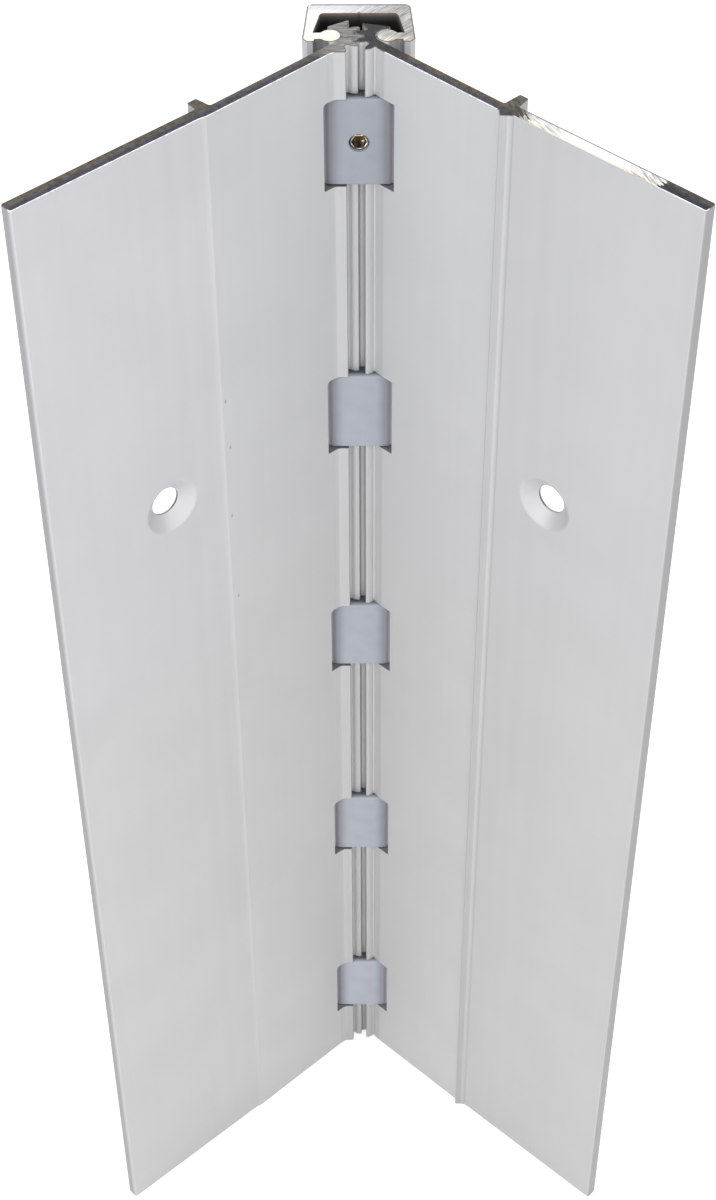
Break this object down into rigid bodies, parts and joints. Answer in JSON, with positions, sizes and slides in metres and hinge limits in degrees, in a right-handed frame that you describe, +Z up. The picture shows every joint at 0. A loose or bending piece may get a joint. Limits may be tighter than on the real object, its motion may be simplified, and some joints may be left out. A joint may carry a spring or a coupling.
{
  "type": "geared continuous hinge",
  "caption": "Geared continuous hinge on end: two wide aluminium leaves mesh through gear edges inside a cover channel, with thrust bearings and a set screw.",
  "frame": {"origin": "midway between the two pivot axes, on the hinge's lower cut end", "axes": "+Z up along the pivot axes, +Y from the open leaves towards the cover channel's back, +X from the frame leaf towards the door leaf"},
  "size_m": [0.1175, 0.0632, 0.3048],
  "materials": {
    "leaf_aluminium": "satin clear anodised faces, sawn bare ends",
    "cover_aluminium": "satin clear anodised faces, sawn bare ends",
    "bearing_plastic": "matte moulded acetal",
    "screw_brass": "turned brass"
  },
  "bodies": {
    "frame": {"frame_leaf": "leaf_aluminium"},
    "cover": {"cover_channel": "cover_aluminium", "bearing_1": "bearing_plastic", "bearing_2": "bearing_plastic", "bearing_3": "bearing_plastic", "bearing_4": "bearing_plastic", "bearing_5": "bearing_plastic", "bearing_set_screw": "screw_brass"},
    "door": {"door_leaf": "leaf_aluminium"}
  },
  "joints": [
    {"name": "frame_pivot", "type": "hinge", "parent": "frame", "child": "cover", "pos_m": [-0.0052, 0, 0.1524], "axis": [0, 0, 1], "range_deg": [-47.2, 42.8]},
    {"name": "door_pivot", "type": "hinge", "parent": "cover", "child": "door", "pos_m": [0.0052, 0, 0.1524], "axis": [0, 0, 1], "range_deg": [-47.2, 42.8]}
  ],
  "couplings": [
    {"joint": "door_pivot", "follows": "frame_pivot", "ratio": 1}
  ]
}
